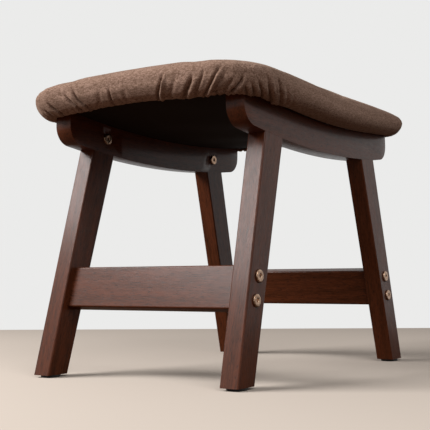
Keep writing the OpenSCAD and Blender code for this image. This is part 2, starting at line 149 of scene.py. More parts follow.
def walnut_stained_wood(name, centre, turn, cut, edge=False):
    """Rubberwood planed, stained dark walnut and sprayed with satin lacquer.

    The eye sees a deep red-brown with short dark pores along the grain, slow streaks where the
    stain took more or less, and a soft grey sheen that the pores break up. With edge set, the
    colour is mixed most of the way to near black as painted shade, for the dark line along a
    rounded arris, and the lacquer there is dull so that no sheen lifts that painted shade."""
    material, tree, output = finish_named(name)
    place = add(tree, "ShaderNodeTexCoord").outputs["Object"]
    along_grain = add(tree, "ShaderNodeMapping", {
        "Vector": place, "Location": centre, "Rotation": turn},
                      vector_type="TEXTURE").outputs["Vector"]
    from_board = add(tree, "ShaderNodeVectorMath", {0: along_grain, 1: cut},
                     operation="ADD").outputs[0]

    def grain(length, width, detail):
        """A pattern of streaks of this length and width."""
        scaled = add(tree, "ShaderNodeVectorMath", {
            0: from_board, 1: (1 / length, 1 / width, 1 / width)}, operation="MULTIPLY").outputs[0]
        return add(tree, "ShaderNodeTexNoise", {
            "Vector": scaled, "Scale": 1, "Detail": detail, "Roughness": 0.55}).outputs["Fac"]

    streaks = grain(110 * MM, 7 * MM, 3)
    fibres = grain(14 * MM, 1.3 * MM, 2)      # finer in real wood: drawn coarser so that they show
    pores = grain(7 * MM, 0.9 * MM, 1)
    flow = grain(9 * MM, 3.2 * MM, 2)         # how the lacquer lies over the pores
    stain = add(tree, "ShaderNodeMapRange", {
        "Value": streaks, "From Min": 0.34, "From Max": 0.66}).outputs[0]
    streaked = add(tree, "ShaderNodeMix", {
        FACTOR: stain, FIRST: linear("#3a1b0b"), SECOND: linear("#512714")},
        data_type="RGBA").outputs[MIXED]
    fibre_share = add(tree, "ShaderNodeMapRange", {
        "Value": fibres, "From Min": 0.35, "From Max": 0.7, "To Max": 0.4}).outputs[0]
    fibred = add(tree, "ShaderNodeMix", {
        FACTOR: fibre_share, FIRST: streaked, SECOND: linear("#6e3a22")},
        data_type="RGBA").outputs[MIXED]
    pore_share = add(tree, "ShaderNodeMapRange", {
        "Value": pores, "From Min": 0.6, "From Max": 0.7, "To Max": 0.75}).outputs[0]
    pored = add(tree, "ShaderNodeMix", {
        FACTOR: pore_share, FIRST: fibred, SECOND: linear("#1f100a")},
        data_type="RGBA").outputs[MIXED]
    colour = pored
    # Painted shade: on rounded edges the colour is mixed most of the way to near black, for the
    # dark line along an arris.
    if edge:
        colour = add(tree, "ShaderNodeMix", {
            FACTOR: 0.75, FIRST: pored, SECOND: linear("#120804")},
            data_type="RGBA").outputs[MIXED]
    gloss = add(tree, "ShaderNodeMapRange", {
        "Value": flow, "From Min": 0.3, "From Max": 0.7, "To Min": 0.34, "To Max": 0.48}).outputs[0]
    sunk = add(tree, "ShaderNodeMath", {0: flow, 1: pore_share}, operation="SUBTRACT").outputs[0]
    relief = add(tree, "ShaderNodeBump", {
        "Height": sunk, "Strength": 0.35, "Distance": 0.25 * MM}).outputs[0]
    # On rounded edges the coat and specular are turned down, so that no sheen lifts their painted
    # shade.
    wood = add(tree, "ShaderNodeBsdfPrincipled", {
        "Base Color": colour, "Roughness": gloss, "Normal": relief,
        "Specular IOR Level": 0.04 if edge else 0.1, "Coat Weight": 0.0 if edge else 0.24,
        "Coat Roughness": 0.18, "Coat IOR": 1.45})
    tree.links.new(wood.outputs[0], output.inputs["Surface"])
    return material


def heathered_felted_cloth():
    """Polyester and wool yarns of several browns, woven plain and brushed until the weave closes.

    The eye sees a matt brown flecked with lighter and darker yarn, faint cross threads, and a pale
    bloom at the edges where the raised nap catches the light."""
    material, tree, output = finish_named("heathered_felted_cloth")
    place = add(tree, "ShaderNodeTexCoord").outputs["Object"]

    def yarn(size, detail):
        """Flecks of this size along X, Y and Z."""
        scaled = add(tree, "ShaderNodeVectorMath", {0: place, 1: tuple(1 / s for s in size)},
                     operation="MULTIPLY").outputs[0]
        return add(tree, "ShaderNodeTexNoise", {
            "Vector": scaled, "Scale": 1, "Detail": detail, "Roughness": 0.6}).outputs["Fac"]

    # The threads are 0.7 mm thick and are drawn coarser, so that they show.
    long_threads = yarn((4.5 * MM, 1.1 * MM, 1.1 * MM), 2)
    cross_threads = yarn((1.1 * MM, 4.5 * MM, 1.6 * MM), 2)
    clouds = yarn((22 * MM, 22 * MM, 22 * MM), 2)
    fluff = yarn((0.9 * MM, 0.9 * MM, 0.9 * MM), 3)
    woven = add(tree, "ShaderNodeMath", {0: long_threads, 1: cross_threads},
                operation="ADD").outputs[0]
    light_share = add(tree, "ShaderNodeMapRange", {
        "Value": woven, "From Min": 0.78, "From Max": 1.22}).outputs[0]
    yarns = add(tree, "ShaderNodeMix", {
        FACTOR: light_share, FIRST: linear("#664d3f"), SECOND: linear("#a08374")},
        data_type="RGBA").outputs[MIXED]
    shade_share = add(tree, "ShaderNodeMapRange", {
        "Value": clouds, "From Min": 0.3, "From Max": 0.7, "To Max": 0.22}).outputs[0]
    shaded = add(tree, "ShaderNodeMix", {
        FACTOR: shade_share, FIRST: yarns, SECOND: linear("#5a4330")},
        data_type="RGBA").outputs[MIXED]
    height = add(tree, "ShaderNodeMath", {0: woven, 1: fluff}, operation="ADD").outputs[0]
    relief = add(tree, "ShaderNodeBump", {
        "Height": height, "Strength": 0.45, "Distance": 0.35 * MM}).outputs[0]
    cloth = add(tree, "ShaderNodeBsdfPrincipled", {
        "Base Color": shaded, "Roughness": 0.95, "Normal": relief, "Specular IOR Level": 0.1,
        "Sheen Weight": 0.25, "Sheen Roughness": 0.45, "Sheen Tint": linear("#ccb09b")})
    tree.links.new(cloth.outputs[0], output.inputs["Surface"])
    return material


def speckled(name, low, high, size, roughness, metallic=0.0, relief=0.3, depth=0.05 * MM,
             specular=0.5):
    """A finish whose colour wanders between two tones in specks, with a matching relief."""
    material, tree, output = finish_named(name)
    place = add(tree, "ShaderNodeTexCoord").outputs["Object"]
    specks = add(tree, "ShaderNodeTexNoise", {
        "Vector": place, "Scale": 1 / size, "Detail": 3, "Roughness": 0.6}).outputs["Fac"]
    share = add(tree, "ShaderNodeMapRange", {
        "Value": specks, "From Min": 0.32, "From Max": 0.68}).outputs[0]
    colour = add(tree, "ShaderNodeMix", {FACTOR: share, FIRST: linear(low), SECOND: linear(high)},
                 data_type="RGBA").outputs[MIXED]
    rough = add(tree, "ShaderNodeMapRange", {
        "Value": specks, "From Min": 0.3, "From Max": 0.7,
        "To Min": roughness * 0.85, "To Max": roughness * 1.15}).outputs[0]
    bump = add(tree, "ShaderNodeBump", {
        "Height": specks, "Strength": relief, "Distance": depth}).outputs[0]
    surface = add(tree, "ShaderNodeBsdfPrincipled", {
        "Base Color": colour, "Roughness": rough, "Metallic": metallic, "Normal": bump,
        "Specular IOR Level": specular})
    tree.links.new(surface.outputs[0], output.inputs["Surface"])
    return material


# Steel bolts plated in antique bronze and relieved: brown in the hollows, paler where rubbed.
antique_bronze = speckled("antique_bronze_plating", "#7d5f4b", "#c4a58c", 1.8 * MM, 0.27,
                          metallic=1.0)
# Turned brass: straw yellow, fine tool marks.
turned_brass = speckled("turned_brass", "#b4944f", "#c9a960", 0.6 * MM, 0.3, metallic=1.0)
# Zinc-plated steel: cool grey with faint spangle.
zinc_plated_steel = speckled("zinc_plated_steel", "#9a9c9f", "#b8babd", 1.2 * MM, 0.36,
                             metallic=1.0)
# Black-oxide steel: an oily near-black.
black_oxide_steel = speckled("black_oxide_steel", "#232326", "#303033", 1.0 * MM, 0.45,
                             metallic=1.0)
# Moulded polyethylene glides: black, slightly waxy, spark-eroded grain.
moulded_polyethylene = speckled("moulded_black_polyethylene", "#141414", "#1e1d1c", 0.8 * MM, 0.5,
                                relief=0.4)
# Spun-bonded polypropylene cloth: near black, with a pinpoint bonding pattern.
spun_bonded_cloth = speckled("spun_bonded_dust_cloth", "#1a120d", "#2a2019", 1.5 * MM, 0.95,
                             relief=0.6, depth=0.2 * MM, specular=0.06)
# Cut polyurethane foam: pale cream, open cells.
cut_foam = speckled("cut_polyurethane_foam", "#cbb27f", "#e2cc9c", 1.4 * MM, 0.95, relief=0.8,
                    depth=0.6 * MM, specular=0.1)
# Raw bent beech plywood: pale tan.
beech_plywood = speckled("bent_beech_plywood", "#b8925f", "#cfae7e", 6 * MM, 0.7, specular=0.2)


# The wooden pieces

def grain_of(node, direction, cut, lean_sign=0, edge=False):
    """The stained wood for one piece: its grain's frame comes from the piece's own box."""
    low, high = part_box(node)
    lean = Matrix.Rotation(frame_lean * lean_sign, 3, "X")
    turn = (lean @ direction).to_euler("XYZ")
    name = "walnut_stained_" + node + ("_edge" if edge else "")
    return walnut_stained_wood(name, (low + high) / 2, turn, cut, edge)


ALONG_X = Matrix.Identity(3)
ALONG_Y = Matrix.Rotation(math.radians(90), 3, "Z")
UP_LEFT_LEG = Matrix.Rotation(-math.radians(90) + leg_rake, 3, "Y")
UP_RIGHT_LEG = Matrix.Rotation(-math.radians(90) - leg_rake, 3, "Y")
cuts = random.Random(11)


def next_cut():
    """Where in the plank the next piece was sawn from."""
    return tuple(cuts.uniform(-3, 3) for _ in range(3))


EDGE_TURN = math.radians(50)     # an edge that turns less stays as it is
HOLE_REACH = 26 * MM             # the far wall of a hole or mortise lies within this
JUST_OFF = 0.2 * MM
FLAT = math.radians(0.5)
RAIL_EASE = 2.6 * MM
RAIL_SHARP = math.radians(28)    # an edge that turns more is drawn sharp


def outer_edges(shape):
    """The sharp edges of a piece's outline, without the rims of its holes and mortises."""
    tree = BVHTree.FromBMesh(shape)
    found = []
    for edge in shape.edges:
        if len(edge.link_faces) != 2 or edge.calc_face_angle(0) < EDGE_TURN or not edge.is_convex:
            continue
        middle = (edge.verts[0].co + edge.verts[1].co) / 2
        if all(tree.ray_cast(middle + face.normal * JUST_OFF, face.normal, HOLE_REACH)[0] is None
               for face in edge.link_faces):
            found.append(edge)
    return found


def eased_rail(node, lean_sign):
    """A copy of a rail with its outer edges rounded over and painted darker, as painted shade, in a
    material of their own.
    """
    sawn = next_cut()
    shape = merged_copy(node)
    bmesh.ops.dissolve_limit(shape, angle_limit=FLAT, verts=shape.verts, edges=shape.edges)
    rounded = bmesh.ops.bevel(
        shape, geom=outer_edges(shape), offset=RAIL_EASE, offset_type="OFFSET", segments=3,
        profile=0.5, affect="EDGES", material=-1, clamp_overlap=True)
    # The rounded faces take the second material, whose darker colour is painted shade.
    for face in rounded["faces"]:
        face.material_index = 1
    bmesh.ops.triangulate(shape, faces=shape.faces)
    made = piece(node + "_eased", shape, grain_of(node, ALONG_X, sawn, lean_sign),
                 [node], sharp=RAIL_SHARP)
    # The second material paints shade on the rounded edges: darker colour, dull lacquer.
    made.data.materials.append(grain_of(node, ALONG_X, sawn, lean_sign, edge=True))


eased_rail("front_rail", 1)
eased_rail("rear_rail", -1)


def dressed(node, material):
    """Gives a CAD piece its finish."""
    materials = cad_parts[node].data.materials
    materials.clear()
    materials.append(material)


for node, direction, lean_sign in (
    ("leg_front_left", UP_LEFT_LEG, 1),
    ("leg_front_right", UP_RIGHT_LEG, 1),
    ("leg_rear_left", UP_LEFT_LEG, -1),
    ("leg_rear_right", UP_RIGHT_LEG, -1),
    ("left_stretcher", ALONG_Y, 0),
    ("right_stretcher", ALONG_Y, 0),
):
    dressed(node, grain_of(node, direction, next_cut(), lean_sign))


# The hardware

for node, material in (
    ("seat_board", beech_plywood),
    ("cloth_staples", black_oxide_steel),
    ("stretcher_inserts_left", turned_brass),
    ("stretcher_inserts_right", turned_brass),
    ("rail_inserts_front", turned_brass),
    ("rail_inserts_rear", turned_brass),
    ("seat_bolts_front", black_oxide_steel),
    ("seat_bolts_rear", black_oxide_steel),
    ("seat_inserts_front", turned_brass),
    ("seat_inserts_rear", turned_brass),
    ("glide_nails", zinc_plated_steel),
    ("glide_front_left", moulded_polyethylene),
    ("glide_front_right", moulded_polyethylene),
    ("glide_rear_left", moulded_polyethylene),
    ("glide_rear_right", moulded_polyethylene),
):
    dressed(node, material)


HEAD_DEPTH = 0.75 * MM      # how far the chamfer round a bolt's head reaches down
HEAD_EASE = 0.55 * MM
MOUTH_EASE = 0.7 * MM
ON_FACE = 0.02 * MM         # a point within this of the head's face lies on it
SOCKET_RADIUS = 3 * MM      # the edges nearer the middle than this are the socket's
HEAD_TURN = math.radians(20)
BOLT_SHARP = math.radians(35)


def linked_parts(shape):
    """The separate solids in a shape, as lists of their vertices."""
    waiting, parts = dict.fromkeys(shape.verts), []
    while waiting:
        part, front = [], [waiting.popitem()[0]]
        while front:
            vert = front.pop()
            part.append(vert)
            for edge in vert.link_edges:
                other = edge.other_vert(vert)
                if other in waiting:
                    del waiting[other]
                    front.append(other)
        parts.append(part)
    return parts


def head_edges(shape, into_wood, mouth):
    """The sharp edges round the bolts' heads, or those round the mouths of their sockets."""
    found = []
    for part in linked_parts(shape):
        face_level = min(v.co.dot(into_wood) for v in part)
        on_face = [v.co for v in part if v.co.dot(into_wood) < face_level + ON_FACE]
        centre = sum(on_face, Vector()) / len(on_face)
        reach = ON_FACE if mouth else HEAD_DEPTH
        for edge in dict.fromkeys(e for v in part for e in v.link_edges):
            if any(v.co.dot(into_wood) > face_level + reach for v in edge.verts):
                continue
            if edge.calc_face_angle(0) < HEAD_TURN:
                continue
            away = (edge.verts[0].co + edge.verts[1].co) / 2 - centre
            radius = (away - into_wood * away.dot(into_wood)).length
            if (radius < SOCKET_RADIUS) == mouth:
                found.append(edge)
    return found


# Each bolt is a copy of its CAD solid with a softer rim and a countersunk socket.
for node, side, inward in (
    ("stretcher_bolts_front_left", 1, 1),
    ("stretcher_bolts_front_right", 1, 1),
    ("stretcher_bolts_rear_left", -1, 1),
    ("stretcher_bolts_rear_right", -1, 1),
    ("rail_bolts_front", 1, -1),
    ("rail_bolts_rear", -1, -1),
):
    into_wood = inward * Vector((0, side * math.cos(frame_lean), -math.sin(frame_lean)))
    bolt_shape = merged_copy(node)
    bmesh.ops.dissolve_limit(bolt_shape, angle_limit=FLAT, verts=bolt_shape.verts,
                             edges=bolt_shape.edges)
    for mouth, ease, steps in ((False, HEAD_EASE, 3), (True, MOUTH_EASE, 2)):
        bmesh.ops.bevel(
            bolt_shape, geom=head_edges(bolt_shape, into_wood, mouth), offset=ease,
            offset_type="OFFSET", segments=steps, profile=0.5, affect="EDGES", material=-1)
    bmesh.ops.triangulate(bolt_shape, faces=bolt_shape.faces)
    piece(node + "_eased", bolt_shape, antique_bronze, [node],
          sharp=BOLT_SHARP)


# The cushion

def rim_offset(points):
    """How far each point lies outside the board's outline, seen from above."""
    inner = np.abs(points[:, :2]) - (board_half_length - board_corner,
                                     board_half_width - board_corner)
    return (np.linalg.norm(np.maximum(inner, 0), axis=1)
            + np.minimum(inner.max(axis=1), 0) - board_corner)


def board_height(points):
    """Each point's height, square to the board's curved underside."""
    return board_under_radius - np.hypot(points[:, 0], seat_centre_z - points[:, 2])


def side_profile():
    """The cover's section from the hem up to the top: offsets, heights and the way up along it."""
    offsets = [hem_offset, fullest_offset - side_width]
    heights = [hem_height, hem_height]
    for turn in range(80, -1, -10):
        offsets.append(fullest_offset - side_width * (1 - math.cos(math.radians(turn))))
        heights.append(fullest_height - side_depth * math.sin(math.radians(turn)))
    for turn in range(3, 90, 3):
        drawn_in = border_width * (1 - math.cos(math.radians(turn)) ** (2 / border_power))
        offsets.append(fullest_offset - drawn_in)
        heights.append(
            fullest_height + border_height * math.sin(math.radians(turn)) ** (2 / border_power))
    offsets.append(fullest_offset - border_width)
    heights.append(fullest_height + border_height)
    steps = np.hypot(np.diff(offsets), np.diff(heights))
    ways = np.concatenate([[0], np.cumsum(steps)]) + hem_offset - (fullest_offset - side_width)
    return np.array(offsets), np.array(heights), ways


profile_offsets, profile_heights, profile_ways = side_profile()
straight_end = 2 * (board_half_width - board_corner)
straight_side = 2 * (board_half_length - board_corner)
corner_arc = math.pi / 2 * board_corner
rim_length = 2 * (straight_end + straight_side) + 4 * corner_arc


def rim_point(along):
    """The board's outline at a distance from the middle of the left end, going to the front.

    It comes back as the place and the outward direction there."""
    left = along % rim_length
    x, y = -board_half_length, 0.0
    heading = -math.pi / 2
    for length, bends in (
        (straight_end / 2, False), (corner_arc, True), (straight_side, False), (corner_arc, True),
        (straight_end, False), (corner_arc, True), (straight_side, False), (corner_arc, True),
        (straight_end / 2, False),
    ):
        step = min(left, length)
        if bends:
            swing = step / board_corner
            x += board_corner * (math.sin(heading + swing) - math.sin(heading))
            y -= board_corner * (math.cos(heading + swing) - math.cos(heading))
            heading += swing
        else:
            x += step * math.cos(heading)
            y += step * math.sin(heading)
        left -= step
        if left <= 0:
            break
    return x, y, math.sin(heading), -math.cos(heading)


def padded_height(x, y, height):
    """A height on the plain pad with the rise of its top and the bulge below its ends added."""
    end_share = (x / board_half_length) ** 2
    side_share = abs(y / board_half_width)
    rise = ((pad_fullness * max(0, 1 - end_share) - pad_end_drop * end_share
             - pad_corner_drop * end_share ** 2 * side_share ** 3)
            * max(0, height - fullest_height) / border_height)
    bulge = (end_bulge * min(1, (abs(x) / end_bulge_from) ** BULGE_POWER)
             * max(0, fullest_height - height) / fullest_height)
    return height + rise - bulge


def on_seat_curve(x, height):
    """The level of a point at this height square to the board's underside."""
    return seat_centre_z - math.sqrt((board_under_radius - height) ** 2 - x * x)


def skin_point(along, way):
    """The point on the cover at a distance along the rim and a way up its side."""
    offset = np.interp(way, profile_ways, profile_offsets)
    height = np.interp(way, profile_ways, profile_heights)
    x, y, out_x, out_y = rim_point(along)
    x, y = x + offset * out_x, y + offset * out_y
    return np.array([x, y, on_seat_curve(x, padded_height(x, y, height))])


def smooth_step(value, low, high):
    """0 below low and 1 above high, with a soft turn between."""
    share = np.clip((value - low) / (high - low), 0, 1)
    return share * share * (3 - 2 * share)


VOXEL = 4 * MM
SIM_FRAMES = 20
CAP = 4 * MM             # no point swells further than this
PRESSURE = 4
CLOTH_STIFFNESS = 300
CLOTH_SHEAR = 100
CLOTH_BENDING = 10
LEAST_HOLD = 0.02
# The cloth comes free of the board over these heights, and over these distances past its edge.
FREE_HEIGHTS = (1 * MM, 12 * MM)
FREE_OFFSETS = (2 * MM, 10 * MM)


def positions(mesh):
    """A mesh's vertex positions as rows."""
    flat = np.empty(len(mesh.vertices) * 3)
    mesh.vertices.foreach_get("co", flat)
    return flat.reshape(-1, 3)


def move_to(mesh, points):
    """Puts a mesh's vertices at these positions."""
    mesh.vertices.foreach_set("co", points.astype(np.float32).ravel())
    mesh.update()


def evaluated_mesh(made):
    """An object's mesh as its modifiers leave it."""
    depsgraph = bpy.context.evaluated_depsgraph_get()
    return bpy.data.meshes.new_from_object(made.evaluated_get(depsgraph))


def remeshed_pad():
    """The cover, foam and board as one closed pad of even squares."""
    shape = merged_copy("seat_cover", "seat_foam", "seat_board")
    mesh = bpy.data.meshes.new("pad_block")
    shape.to_mesh(mesh)
    shape.free()
    pad = bpy.data.objects.new("pad_block", mesh)
    scene.collection.objects.link(pad)
    voxels = pad.modifiers.new("even_squares", "REMESH")
    voxels.mode = "VOXEL"
    voxels.voxel_size = VOXEL
    bpy.context.view_layer.update()
    even = evaluated_mesh(pad)
    bpy.data.objects.remove(pad)
    return even


def blown_up(mesh):
    """The pad as cloth with air in it, held where the board is, so that it swells elsewhere."""
    start = positions(mesh)
    free = np.maximum(smooth_step(board_height(start), *FREE_HEIGHTS),
                      smooth_step(rim_offset(start), *FREE_OFFSETS))
    pad = bpy.data.objects.new("pad_sim", mesh)
    scene.collection.objects.link(pad)
    held = pad.vertex_groups.new(name="held")
    for index, share in enumerate(1 - free):
        if share > LEAST_HOLD:
            held.add([index], float(share), "REPLACE")
    cloth = pad.modifiers.new("stuffed_cloth", "CLOTH")
    cloth.settings.vertex_group_mass = "held"
    cloth.settings.use_pressure = True
    cloth.settings.uniform_pressure_force = PRESSURE
    cloth.settings.tension_stiffness = CLOTH_STIFFNESS
    cloth.settings.compression_stiffness = CLOTH_STIFFNESS
    cloth.settings.shear_stiffness = CLOTH_SHEAR
    cloth.settings.bending_stiffness = CLOTH_BENDING
    cloth.settings.effector_weights.gravity = 0
    cloth.collision_settings.use_collision = False
    cloth.point_cache.frame_start = 1
    cloth.point_cache.frame_end = SIM_FRAMES
    for number in range(1, SIM_FRAMES + 1):
        scene.frame_set(number)
    swollen = evaluated_mesh(pad)
    bpy.data.objects.remove(pad)
    scene.frame_set(1)
    moved = positions(swollen) - start
    length = np.linalg.norm(moved, axis=1)[:, None]
    capped = start + moved * np.minimum(1, CAP / np.maximum(length, SMALLEST))
    move_to(swollen, capped)
    return swollen


FINE_FROM = 140 * MM     # the gathered ends start this far from mid length
FINE_BELOW = 34 * MM     # and their creases reach this high
FINE_INSIDE = 4 * MM     # and this far in under the hem
CUT_BELOW = 8 * MM       # the underside inside the hem is open up to this height


def opened_below(mesh):
    """Subdivides the pad, finer at its gathered ends, and cuts it open below along the hem."""
    shape = bmesh.new()
    shape.from_mesh(mesh)
    bmesh.ops.subdivide_edges(shape, edges=shape.edges, cuts=1, smooth=0.8, use_grid_fill=True)
    points = np.array([v.co for v in shape.verts])
    fine = ((np.abs(points[:, 0]) > FINE_FROM) & (board_height(points) < FINE_BELOW)
            & (rim_offset(points) > hem_offset - FINE_INSIDE))
    shape.verts.index_update()
    gathered_edges = [edge for edge in shape.edges if all(fine[v.index] for v in edge.verts)]
    bmesh.ops.subdivide_edges(shape, edges=gathered_edges, cuts=1, use_grid_fill=True)
    points = np.array([v.co for v in shape.verts])
    under = (rim_offset(points) < hem_offset) & (board_height(points) < CUT_BELOW)
    shape.verts.ensure_lookup_table()
    gone = [f for f in shape.faces if all(under[v.index] for v in f.verts)]
    bmesh.ops.delete(shape, geom=gone, context="FACES")
    return shape


LINE_REACH = 5 * MM      # a crease marks cloth that has swollen this far from its line in full
DEPTH_SHARE = 0.3        # how much a distance along the normal counts beyond that
CREASE_REACH = 6         # how far a crease is felt, in widths of the crease as the next two
ROLL_PLACE = 2.4
ROLL_WIDTH = 1.7


def crease(points, normals, lift, line, depth, width, rolls, fade_top):
    """Pushes the cloth in along a line, fading at its top, with a roll on each side of it.

    The way that each point moves is added to lift."""
    reach = CREASE_REACH * width
    low, high = line.min(axis=0) - reach, line.max(axis=0) + reach
    near = np.where(np.all((points > low) & (points < high), axis=1))[0]
    if not len(near):
        return
    here, up = points[near], normals[near]
    best = np.full(len(near), np.inf)
    side = np.ones(len(near))
    share = np.zeros(len(near))
    count = len(line) - 1
    for step in range(count):
        start, run = line[step], line[step + 1] - line[step]
        reached = np.clip((here - start) @ run / (run @ run), 0, 1)
        away = here - start - reached[:, None] * run
        above = (away * up).sum(axis=1)
        gap = (np.linalg.norm(away - above[:, None] * up, axis=1)
               + DEPTH_SHARE * np.maximum(0, np.abs(above) - LINE_REACH))
        closer = gap < best
        best = np.where(closer, gap, best)
        turned = np.sign((np.cross(run, up) * away).sum(axis=1))
        side = np.where(closer, turned, side)
        share = np.where(closer, (step + reached) / count, share)
    shape = -np.exp(-(best / width) ** 2)
    across = best * side / width
    for sign, size in zip((1, -1), rolls):
        shape += size * np.exp(-((across * sign - ROLL_PLACE) / ROLL_WIDTH) ** 2)
    lift[near] += depth * smooth_step(share, 0, fade_top) * shape


# The creases that the photograph shows at the left end: distances along the rim from the middle
# of that end and ways up the side, from the top of each crease to its foot, then its depth and
# width, all in millimetres, and how high the roll on each side of it is in shares of its depth.
seen_creases = (
    (((-82, 26), (-78, 19), (-72, 12), (-67, 6), (-66, -7)), 5.0, 1.6, (0.5, 0.15)),
    (((-95, 22), (-87, 15), (-80, 9), (-79, -3)), 4.0, 1.7, (0.5, 0.15)),
    (((-120, 19), (-115, 11), (-110, 4), (-112, -6)), 4.2, 1.7, (0.5, 0.15)),
    (((-130, 13), (-128, 6), (-127, -5)), 3.6, 1.7, (0.4, 0.15)),
    (((-24, 22), (-25, 14), (-27, 6), (-30, -6)), 3.2, 1.4, (0.2, 0.2)),
    (((-36, 22), (-41, 14), (-46, 2)), 0.8, 3.0, (0.2, 0.2)),
    (((2, 20), (-3, 13), (-6, 4)), 0.6, 3.0, (0.2, 0.2)),
    (((57, 28), (51, 18), (44, 10), (34, -7)), 4.0, 1.5, (0.1, 1.0)),
    (((76, 24), (70, 18), (63, 11), (55, 0)), 1.0, 2.6, (0.2, 0.2)),
    (((98, 22), (90, 15), (83, 9), (70, -6)), 4.6, 2.0, (0.2, 0.8)),
    (((113, 25), (107, 18), (99, 11), (87, -5)), 2.2, 1.5, (0.2, 0.3)),
    (((128, 29), (121, 19), (115, 12), (107, 4), (96, -7)), 4.2, 1.3, (0.1, 0.9)),
    (((131, 23), (126, 16), (120, 9), (113, 0)), 1.6, 1.6, (0.2, 0.3)),
    (((137, 19), (133, 13), (128, 5), (123, -7)), 1.8, 1.7, (0.3, 0.4)),
    (((144, 20), (142, 14), (138, 8), (133, 0)), 5.0, 1.4, (0.1, 0.8)),
    (((121, 9), (114, -7)), 3.2, 1.3, (0.3, 0.3)),
    (((136, 9), (132, -7)), 3.4, 1.3, (0.3, 0.3)),
    (((145, 14), (149, 3), (154, -7)), 3.4, 1.3, (0.3, 0.3)),
    (((150, 17), (157, 4), (165, -7)), 3.6, 1.3, (0.3, 0.3)),
    (((155, 20), (165, 7), (180, -7)), 3.8, 1.4, (0.3, 0.4)),
    (((162, 26), (172, 11), (190, 0), (201, -7)), 4.4, 1.6, (0.3, 0.8)),
    (((175, 26), (182, 21), (190, 14), (210, 1), (222, -7)), 2.8, 1.8, (0.6, 0.2)),
    (((196, 24), (205, 15), (222, 2)), 1.2, 2.2, (0.2, 0.2)),
    (((213, 23), (223, 12), (236, 0)), 0.8, 2.4, (0.2, 0.2)),
)


def lean_at(along):
    """How far a gather runs along the rim for each step down: they fan out from the corners."""
    spots = [-200, -150, -120, -60, 0, 50, 100, 125, 150, 170, 190, 215, 260]
    leans = [0.9, 0.1, -0.4, -0.45, 0.1, 0.6, 1.0, 0.9, 0.3, -0.5, -1.1, -0.8, 0]
    return float(np.interp(along, spots, leans))


def strength_at(along):
    """How deep the gathers are along the rim: deep round the corners, shallow between them."""
    spots = [-205, -180, -140, -80, -40, 20, 60, 95, 150, 190, 215, 240]
    depths = [0.0, 0.7, 1.1, 0.9, 0.4, 0.35, 0.7, 1.5, 1.7, 1.5, 0.8, 0.0]
    return float(np.interp(along, spots, depths))


SEEN_DEPTH = 1.2                 # what the depths of the seen creases are taken times
SEEN_FADE = 0.4                  # the share of a seen crease over which its top fades in
FAR_CHANGE = (0.7, 1.1)          # and what the far end's are taken times besides

# The gathers that follow a rule. Their distances, sizes and steps are in millimetres.
GATHERS = (-203.0, 238)          # where they start and stop along the rim
GATHER_STEPS = (7.0, 11.0)
GATHER_TOPS = (7, 15)            # the way up the side at which they start
CREASE_FOOT = -7                 # and the one at which they end
GATHER_LEANS = (0.7, 1.2)
GATHER_DEPTHS = (0.9, 2.0)
GATHER_WIDTHS = (1.7, 2.2)
GATHER_ROLLS = (0.4, 0.4)
GATHER_FADE = 0.7
TIGHT_BETWEEN = (60, 215)        # round the front left corner and the one across from it
TIGHT = 0.72                     # the gathers there are this much closer and narrower
SEEN_CORNER = 0.75               # and this much shallower where seen creases lie among them
HEM_ROLLS = 0.4                  # how much of a roll is left at the hem
ROLL_HEIGHTS = (-2 * MM, 7 * MM)  # the heights over which it comes up to its full size


def gathered(points, normals):
    """The way that each point of the cover moves for the creases and gathers of both ends."""
    lift = np.zeros(len(points))
    chance = random.Random(5)

    def fold(turned, ways, depth, width, rolls, fade_top):
        """Adds a crease through these distances along the rim and ways up the side."""
        line = np.array([skin_point(a * MM, w * MM) for a, w in ways]) * (turned, turned, 1)
        crease(points, normals, lift, line, depth * MM, width * MM, rolls, fade_top)

    for turned in (1, -1):
        for ways, depth, width, rolls in seen_creases:
            change = 1 if turned == 1 else chance.uniform(*FAR_CHANGE)
            fold(turned, ways, SEEN_DEPTH * depth * change, width, rolls, SEEN_FADE)
        along, last = GATHERS
        while along < last:
            in_corner = TIGHT_BETWEEN[0] < along < TIGHT_BETWEEN[1]
            strength = strength_at(along) * (SEEN_CORNER if turned == 1 and in_corner else 1)
            top = chance.uniform(*GATHER_TOPS)
            lean = lean_at(along) * chance.uniform(*GATHER_LEANS)
            ways = [(along + lean * (top - w), w) for w in np.linspace(top, CREASE_FOOT, 4)]
            depth = strength * chance.uniform(*GATHER_DEPTHS)
            tight = TIGHT if in_corner else 1
            width = tight * chance.uniform(*GATHER_WIDTHS)
            fold(turned, ways, depth, width, GATHER_ROLLS, GATHER_FADE)
            along += tight * chance.uniform(*GATHER_STEPS)
    above_hem = smooth_step(board_height(points), *ROLL_HEIGHTS)
    return np.where(lift > 0, lift * (HEM_ROLLS + (1 - HEM_ROLLS) * above_hem), lift)


RIM_STEP = 2 * MM
LOOSE_HEIGHTS = (-2 * MM, 12 * MM)
LOOSE_RIGHT = 0.3                # how far the right end hangs, as a share of the left


